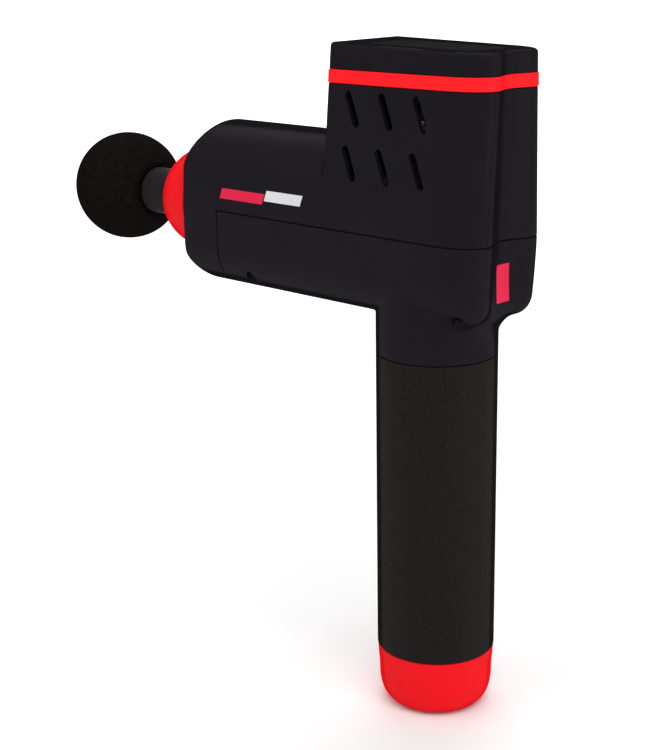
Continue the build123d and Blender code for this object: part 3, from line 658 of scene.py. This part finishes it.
def use_modifier(piece, kind, **settings):
    """Add a modifier, set it up and apply it."""
    modifier = piece.modifiers.new(kind.lower(), kind)
    for name, value in settings.items():
        setattr(modifier, name, value)
    depsgraph = bpy.context.evaluated_depsgraph_get()
    mesh = bpy.data.meshes.new_from_object(piece.evaluated_get(depsgraph))
    piece.modifiers.remove(modifier)
    old = piece.data
    piece.data = mesh
    bpy.data.meshes.remove(old)


def carve(piece, cutter):
    """Subtract a closed cutter from a closed piece and delete the cutter."""
    use_modifier(piece, "BOOLEAN", object=cutter, operation="DIFFERENCE", solver="MANIFOLD")
    bpy.data.objects.remove(cutter)


def solidify(piece, thickness):
    """Give a skin its wall, grown inwards."""
    use_modifier(piece, "SOLIDIFY", thickness=thickness * MM, offset=-1.0, use_rim=True)


def finish_edges(piece):
    """Smooth shading, with the sharp edges kept."""
    piece.data.shade_smooth()
    piece.data.set_sharp_from_angle(angle=radians(34))


def place(piece, body, slot, *nodes):
    """Fix a piece to its body, and let it stand for the CAD nodes named; the slot is not used."""
    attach(piece, body)
    if nodes:
        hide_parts(*nodes)


def slot_ring(x, z):
    """Outline of one slanted, round-ended slot in the side plane."""
    turn = radians(SLOT_ANGLE)
    offset = 0.5 * (SLOT_LENGTH - SLOT_WIDTH)
    ring = []
    for end, start in ((1, -0.5 * pi), (-1, 0.5 * pi)):
        for n in range(11):
            a = turn + start + pi * n / 10
            ring.append((x + end * offset * cos(turn) + 0.5 * SLOT_WIDTH * cos(a),
                         z + end * offset * sin(turn) + 0.5 * SLOT_WIDTH * sin(a)))
    return ring


def slot_prisms(name, material):
    """All the slots through both side walls, as one cutter."""
    reach = 40
    points, faces = [], []
    for row_z, shift in SLOT_ROWS:
        for x in SLOT_XS:
            base = len(points)
            ring = slot_ring(x + shift, row_z)
            n = len(ring)
            for y in (-reach, reach):
                points += [(px, y, pz) for px, pz in ring]
            faces.append([base + i for i in range(n)])
            faces.append([base + n + i for i in range(n)][::-1])
            faces += [(base + (i + 1) % n, base + i, base + n + i, base + n + (i + 1) % n)
                      for i in range(n)]
    return new_object(name, points, faces, material)


def screw_cutter(name, material):
    """Upright round cutters for the screw recesses, as one cutter."""
    count = 32
    points, faces = [], []
    for x, y in SCREW_PLACES:
        base = len(points)
        for z in SCREW_RECESS_Z:
            for n in range(count):
                a = 2 * pi * n / count
                points.append((x + SCREW_RECESS_R * cos(a), y + SCREW_RECESS_R * sin(a), z))
        faces.append([base + i for i in range(count)][::-1])
        faces.append([base + count + i for i in range(count)])
        faces += [(base + i, base + (i + 1) % count, base + count + (i + 1) % count,
                   base + count + i) for i in range(count)]
    return new_object(name, points, faces, material)


# ======================================================================= housing shells
def build_housing(material, step):
    """Upper and lower shells, cut from one surface along the seam and behind the front collar."""
    points, faces = surface_net(housing_field, HOUSING_BOX, step)
    upper = new_object("upper_shell", points, faces, material)
    seam_up, seam_down = SEAM_Z + HALF_GAP, SEAM_Z - HALF_GAP
    collar_up, collar_down = COLLAR_X - HALF_GAP, COLLAR_X + HALF_GAP

    def not_upper(c):
        return (c.x > collar_up and c.z < seam_up) or c.z > BAND_BOTTOM

    cut_shell(upper, [((0, 0, seam_up), (0, 0, 1)), ((collar_up, 0, 0), (-1, 0, 0)),
                      ((0, 0, BAND_BOTTOM), (0, 0, -1))], not_upper)
    solidify(upper, SHELL)
    carve(upper, slot_prisms("slot_cutter", material))
    finish_edges(upper)
    place(upper, "housing", "body_black", "upper_housing")

    lower = new_object("lower_shell", points, faces, material)

    def not_lower(c):
        return c.x < collar_down or c.z > seam_down or c.z < NECK_Z

    cut_shell(lower, [((0, 0, seam_down), (0, 0, -1)), ((collar_down, 0, 0), (1, 0, 0)),
                      ((0, 0, NECK_Z), (0, 0, 1))], not_lower)
    solidify(lower, SHELL)
    carve(lower, screw_cutter("screw_cutter", material))
    finish_edges(lower)
    place(lower, "housing", "body_black", "lower_housing")


def ribbon(name, field, box, step, planes, kept, material):
    """Thin inner strip standing behind a seam, so no light passes through it."""
    points, faces = surface_net(lambda x, y, z: field(x, y, z) + SHELL + 0.1, box, step)
    strip = new_object(name, points, faces, material)
    bm = bmesh.new()
    bm.from_mesh(strip.data)
    for spot, normal in planes:
        geometry = bm.verts[:] + bm.edges[:] + bm.faces[:]
        bmesh.ops.bisect_plane(bm, geom=geometry, plane_co=Vector(spot) * MM,
                               plane_no=Vector(normal), dist=1e-7)
    gone = [f for f in bm.faces if not kept(f.calc_center_median() / MM)]
    bmesh.ops.delete(bm, geom=gone, context="FACES")
    bm.to_mesh(strip.data)
    bm.free()
    solidify(strip, LIP_T)
    finish_edges(strip)
    place(strip, "housing", "body_black")


def build_lips(material, step):
    """Inner strips behind the seam and collar gap, and behind the band."""
    low_z, high_z = SEAM_Z - LIP_REACH, SEAM_Z + LIP_REACH
    near_x, far_x = COLLAR_X - LIP_REACH, COLLAR_X + LIP_REACH

    def on_body_seam(c):
        along = low_z < c.z < high_z and c.x > near_x
        across = near_x < c.x < far_x and c.z < high_z
        return along or across

    ribbon("seam_lip", housing_field, SEAM_LIP_BOX, step,
           [((0, 0, low_z), (0, 0, 1)), ((0, 0, high_z), (0, 0, 1)),
            ((near_x, 0, 0), (1, 0, 0)), ((far_x, 0, 0), (1, 0, 0))], on_body_seam, material)
    base, crown = BAND_BOTTOM - LIP_REACH, BAND_TOP + LIP_REACH
    ribbon("band_lip", tower_field, BAND_LIP_BOX, step,
           [((0, 0, base), (0, 0, 1)), ((0, 0, crown), (0, 0, 1))],
           lambda c: base < c.z < crown, material)


# ======================================================================= band, cap, nose, head
def build_band(material, step):
    """Red band, standing a little proud of the tower."""
    points, faces = surface_net(band_field, BAND_BOX, step)
    band = new_object("band", points, faces, material)
    low, high = BAND_BOTTOM + BAND_GAP, BAND_TOP - BAND_GAP
    cut_shell(band, [((0, 0, low), (0, 0, 1)), ((0, 0, high), (0, 0, -1))],
              lambda c: c.z < low or c.z > high)
    solidify(band, SHELL)
    finish_edges(band)
    place(band, "housing", "accent_red", "accent_band")


def build_cap(material, step):
    """Top cap with the recess of the touch panel."""
    points, faces = surface_net(cap_field, CAP_BOX, step)
    cap = new_object("cap", points, faces, material)
    low = BAND_TOP + CAP_GAP
    cut_shell(cap, [((0, 0, low), (0, 0, 1))], lambda c: c.z < low)
    solidify(cap, SHELL)
    outline = rounded_ring(PANEL_X, PANEL_LENGTH, PANEL_WIDTH, PANEL_R)
    carve(cap, prism("panel_cutter", outline, lambda x: top_height(x) - PANEL_DEPTH,
                     lambda x: top_height(x) + 5, material))
    finish_edges(cap)
    place(cap, "housing", "body_black", "top_cap")


def upright(side, depth, height):
    """Point of a turned piece whose axis is the grip."""
    return side, depth, height


def forward_from(x, lift=lambda radius: 0.0):
    """Points of a turned piece on the drive axis; lift raises them by their radius."""
    def put(side, rise, height):
        return x - height, side, DRIVE_Z + rise + lift(np.hypot(side, rise))
    return put


def lathe(name, profile, put, material, count):
    """Closed (radius, height) profile turned about an axis; put sets each point in the object."""
    rows = len(profile)
    points, faces = [], []
    for n in range(count):
        a = 2 * pi * n / count
        points += [put(radius * cos(a), radius * sin(a), height) for radius, height in profile]
    for n in range(count):
        m = (n + 1) % count
        for i in range(rows):
            j = (i + 1) % rows
            if profile[i][0] < 1e-6 and profile[j][0] < 1e-6:
                continue
            faces.append((n * rows + i, m * rows + i, m * rows + j, n * rows + j))
    piece = new_object(name, points, faces, material)
    bm = bmesh.new()
    bm.from_mesh(piece.data)
    bmesh.ops.remove_doubles(bm, verts=bm.verts[:], dist=1e-7)
    bmesh.ops.dissolve_degenerate(bm, edges=bm.edges[:], dist=1e-8)
    bmesh.ops.recalc_face_normals(bm, faces=bm.faces[:])
    bm.to_mesh(piece.data)
    bm.free()
    finish_edges(piece)
    return piece


def build_nose(material):
    """Domed ring on the barrel's front face, rolled in to the bore of the shaft."""
    steps = 28
    edge = (NOSE_BORE + NOSE_ROLL) / NOSE_R
    last = (1 - edge ** NOSE_POWER) ** (1 / NOSE_POWER)
    profile = [(NOSE_SEAT_R, 0.1), (NOSE_R - 0.3, 0.1)]
    for n in range(steps + 1):
        turn = last * sin(0.5 * pi * n / steps)
        radius = NOSE_R * (1 - turn ** NOSE_POWER) ** (1 / NOSE_POWER)
        profile.append((radius, 0.35 + (NOSE_REACH - 0.35) * turn / last))
    for n in range(1, 7):
        a = 0.5 * pi * n / 6
        profile.append((NOSE_BORE + NOSE_ROLL * (1 - sin(a)),
                        NOSE_REACH - NOSE_ROLL * (1 - cos(a))))
    profile += [(NOSE_BORE, NOSE_REACH - NOSE_SEAT), (NOSE_SEAT_R, NOSE_REACH - NOSE_SEAT)]

    def lift(radius):
        return NOSE_LIFT * min(max((radius - NOSE_SEAT_R) / (NOSE_R - NOSE_SEAT_R), 0), 1)

    nose = lathe("nose", profile, forward_from(BODY_FRONT, lift), material, 96)
    place(nose, "housing", "accent_red", "nose_ring")


def build_end_cap(material):
    """Cup with a gentle taper and a deeply rounded foot, recessed for the switch and the jack."""
    steps = 30
    profile = [(0.0, 0.0)]
    for n in range(steps + 1):
        turn = 0.5 * pi * n / steps
        profile.append((CAP_BASE_R + (CAP_SIDE_R - CAP_BASE_R) * sin(turn) ** (2 / CAP_POWER),
                        CAP_ROUND * (1 - cos(turn) ** (2 / CAP_POWER))))
    profile += [(CAP_TOP_R - 0.05, CAP_TOP - 0.6), (CAP_TOP_R - 0.1, CAP_TOP - 0.15),
                (CAP_TOP_R - 0.35, CAP_TOP), (CAP_TOP_R - CAP_WALL, CAP_TOP),
                (CAP_TOP_R - CAP_WALL, CAP_FLOOR), (0.0, CAP_FLOOR)]
    cap = lathe("foot", profile, upright, material, 128)
    length, width = ROCKER_SIZE
    for name, centre, ring in (
            ("rocker_cutter", ROCKER_X, rounded_ring(ROCKER_X, length, width, ROCKER_R)),
            ("jack_cutter", JACK_X, rounded_ring(JACK_X, 2 * JACK_R, 2 * JACK_R, JACK_R))):
        well = [(centre + WELL_SHARE * (x - centre), WELL_SHARE * y) for x, y in ring]
        carve(cap, prism(name, ring, -2.0, BASE_DEPTH, material))
        carve(cap, prism(name, well, 0, CAP_TOP, material))
    finish_edges(cap)
    place(cap, "housing", "accent_red", "end_cap")


def rounded_ring(centre, length, width, radius):
    """Outline of a rounded rectangle in plan, anticlockwise."""
    ring = []
    for sx, sy, first in ((1, 1, 0), (-1, 1, 1), (-1, -1, 2), (1, -1, 3)):
        for n in range(9):
            a = 0.5 * pi * (first + n / 8)
            ring.append((centre + sx * (0.5 * length - radius) + radius * cos(a),
                         sy * (0.5 * width - radius) + radius * sin(a)))
    return ring


def prism(name, ring, low, high, material):
    """Upright closed prism over a plan outline; the heights may follow the outline."""
    count = len(ring)
    points = [(x, y, low(x) if callable(low) else low) for x, y in ring]
    points += [(x, y, high(x) if callable(high) else high) for x, y in ring]
    faces = [list(range(count))[::-1], [count + n for n in range(count)]]
    faces += [(n, (n + 1) % count, count + (n + 1) % count, count + n) for n in range(count)]
    return new_object(name, points, faces, material)


def build_ball(material):
    """Foam ball with a shallow dimple where the stem goes in."""
    steps = 72
    start = ball_angle(STEM_BORE_R)
    mouth = ball_angle(DIMPLE_R)
    core = BALL_R - STEM_BORE_DEPTH
    profile = [(STEM_BORE_R, -core), (STEM_BORE_R, DIMPLE - BALL_R * cos(start))]
    for n in range(1, 9):
        share = n / 8
        a = start + (mouth - start) * share
        sink = DIMPLE * (1 - share) ** 2
        profile.append(((BALL_R - sink) * sin(a), -(BALL_R - sink) * cos(a)))
    for n in range(1, steps + 1):
        a = mouth + (pi - mouth) * n / steps
        profile.append((max(BALL_R * sin(a), 0.0), -BALL_R * cos(a)))
    profile[-1] = (0.0, BALL_R)
    profile.append((0.0, -core))
    ball = lathe("ball", profile, forward_from(BALL_X), material, 128)
    place(ball, "head", "foam_black", "head_ball")


def ball_angle(radius):
    """Angle from the stem axis at which the ball has this radius."""
    return atan2(radius, sqrt(BALL_R ** 2 - radius ** 2))


# ======================================================================= printed marks
def surface_y(x, z, side):
    """Distance from the middle plane to the housing side at (x, z)."""
    y = np.full(x.shape, side * 22.0)
    for _ in range(8):
        gap = housing_field(x, y, z)
        slope = (housing_field(x, y + 0.1, z) - housing_field(x, y - 0.1, z)) / 0.2
        y = y - gap / np.where(np.abs(slope) < 0.3, 0.3 * side, slope)
    return y


def surface_x(y, z):
    """Place of the rear face at (y, z)."""
    x = np.full(y.shape, 33.0)
    for _ in range(8):
        gap = housing_field(x, y, z)
        slope = (housing_field(x + 0.1, y, z) - housing_field(x - 0.1, y, z)) / 0.2
        x = x - gap / np.maximum(slope, 0.3)
    return x


def side_mark(name, bar, material, slot):
    """Slanted bar printed on the near barrel side, following the surface."""
    x0, x1, z0, z1 = bar
    columns, rows = 24, 4
    xs, zs = np.meshgrid(np.linspace(x0, x1, columns), np.linspace(z0, z1, rows), indexing="ij")
    xs = xs + BAR_LEAN * (zs - z0)
    ys = surface_y(xs, zs, -1)
    film(name, np.stack([xs, ys, zs], 2), (0, -PRINT_FILM, 0), material, slot)


def rear_mark(name, bar, material, slot):
    """Bar printed on the rear face, following the surface."""
    y0, y1, z0, z1 = bar
    columns, rows = 24, 40
    ys, zs = np.meshgrid(np.linspace(y0, y1, columns), np.linspace(z0, z1, rows), indexing="ij")
    film(name, np.stack([surface_x(ys, zs), ys, zs], 2), (PRINT_FILM, 0, 0), material, slot)


def film(name, grid, lift, material, slot):
    """Thin closed patch over a grid of surface points, lifted a little off the surface."""
    columns, rows = grid.shape[:2]
    outer = (grid + np.array(lift)).reshape(-1, 3)
    inner = (grid - np.array(lift)).reshape(-1, 3)
    count = columns * rows
    faces = []
    for i in range(columns - 1):
        for j in range(rows - 1):
            a, b, c, d = i * rows + j, (i + 1) * rows + j, (i + 1) * rows + j + 1, i * rows + j + 1
            faces += [(a, b, c, d), (count + d, count + c, count + b, count + a)]
    ring = [i * rows for i in range(columns)]
    ring += [(columns - 1) * rows + j for j in range(1, rows)]
    ring += [i * rows + rows - 1 for i in range(columns - 2, -1, -1)]
    ring += [j for j in range(rows - 2, 0, -1)]
    faces += [(ring[n], count + ring[n], count + ring[(n + 1) % len(ring)],
               ring[(n + 1) % len(ring)]) for n in range(len(ring))]
    mark = new_object(name, np.vstack([outer, inner]), faces, material)
    mark.data.shade_flat()
    place(mark, "housing", slot)


# ======================================================================= carried-over CAD nodes
def dress(node, material):
    """Give a CAD node that stays its procedural material."""
    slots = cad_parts[node].data.materials
    slots.clear()
    slots.append(material)


# ======================================================================= the scene
def add_world():
    """Even white surroundings, shown with plain tones."""
    world = bpy.data.worlds.new("studio")
    world.use_nodes = True
    background = world.node_tree.nodes["Background"]
    background.inputs["Color"].default_value = (1, 1, 1, 1)
    background.inputs["Strength"].default_value = 0.62
    bpy.context.scene.world = world
    bpy.context.scene.view_settings.view_transform = "Standard"


add_world()
add_camera()
add_stage()
add_area("key", place=(0.62, -0.35, 1.1), aim=(0, 0, 0.16), size=(0.8, 0.8), power=7)
add_area("fill", place=(-0.5, -1.0, 1.1), aim=(0, 0, 0.16), size=(1.0, 1.0), power=4)
add_area("side_strip", place=(0.9, 0.06, 0.22), aim=(0, 0, 0.14), size=(0.14, 0.6), power=1.3)
add_area("backdrop_wash", place=(-0.75, 0.85, 1.7), aim=(-1.5, 1.6, 0.5), size=(1.6, 0.6), power=38)

BODY = body_material()
RED = red_material("accent_red")
# The band is the same red as the nose and end cap, painted lighter: its brighter base colour stands in
# for extra light falling on the band.
BAND_RED_PAINTED_LIGHT = red_material("band_red_painted_light", (0.91, 0.0118, 0.0165), (0.95, 0.0135, 0.0185))
GRIP = grip_material()
FOAM = foam_material()
STEM = plain_material("stem_grey", (0.016, 0.015, 0.016), 0.55, ior=1.1)
INNER = plain_material("inner_plastic", (0.03, 0.03, 0.032), 0.5)
STEEL = plain_material("bearing_steel", (0.55, 0.56, 0.58), 0.28, 1.0)
ALLOY = plain_material("cast_alloy", (0.60, 0.61, 0.63), 0.38, 1.0)
DARK_STEEL = plain_material("screw_steel", (0.09, 0.09, 0.10), 0.35, 1.0)
COPPER = plain_material("copper", (0.72, 0.28, 0.12), 0.3, 1.0)
BOARD = plain_material("circuit_board", (0.012, 0.11, 0.045), 0.35)
PANEL = panel_material()
CELLS = plain_material("cell_wrap", (0.03, 0.16, 0.30), 0.25)
NICKEL = plain_material("nickel", (0.62, 0.60, 0.55), 0.3, 1.0)
BUSH = plain_material("bush_polymer", (0.60, 0.55, 0.45), 0.4)
PRINT_RED = plain_material("print_red", (0.74, 0.006, 0.055), 0.5)
WHITE = plain_material("display_white", (0.7, 0.7, 0.72), 0.5)
RUBBER = plain_material("ring_rubber", (0.012, 0.012, 0.012), 0.6)

DRESSED = {
    "rocker": RED, "top_panel": PANEL, "grip_sleeve": GRIP, "head_stem": STEM,
    "head_rings": RUBBER, "nose_seal": RUBBER, "display_board": BOARD, "display_module": WHITE,
    "front_bush": BUSH, "rear_bush": BUSH, "bush_bracket": INNER, "housing_screws": DARK_STEEL,
    "motor_mount": ALLOY, "mount_screws": DARK_STEEL, "motor_bearings": STEEL,
    "motor_stator": DARK_STEEL, "motor_windings": COPPER, "controller_board": BOARD,
    "board_components": INNER, "board_screws": DARK_STEEL, "grip_tube": INNER,
    "battery_cells": CELLS, "cell_holders": INNER, "cell_strips": NICKEL, "pack_board": BOARD,
    "pack_spacer": RUBBER, "switch_body": INNER, "charging_jack": STEEL, "rotor_bell": ALLOY,
    "rotor_magnets": NICKEL, "motor_shaft": STEEL, "cooling_fan": INNER, "crank_disc": DARK_STEEL,
    "crank_pin": STEEL, "pin_bearing": STEEL, "yoke": ALLOY, "output_shaft": ALLOY,
}
for node, material in DRESSED.items():
    dress(node, material)

STEP = 1.0
build_housing(BODY, STEP)
build_lips(BODY, 2.0)
build_band(BAND_RED_PAINTED_LIGHT, STEP)
build_cap(BODY, STEP)
build_nose(RED)
build_end_cap(RED)
build_ball(FOAM)
side_mark("print_red", RED_BAR, PRINT_RED, "accent_red")
side_mark("print_white", WHITE_BAR, WHITE, "display_white")
rear_mark("print_rear", REAR_BAR, PRINT_RED, "accent_red")
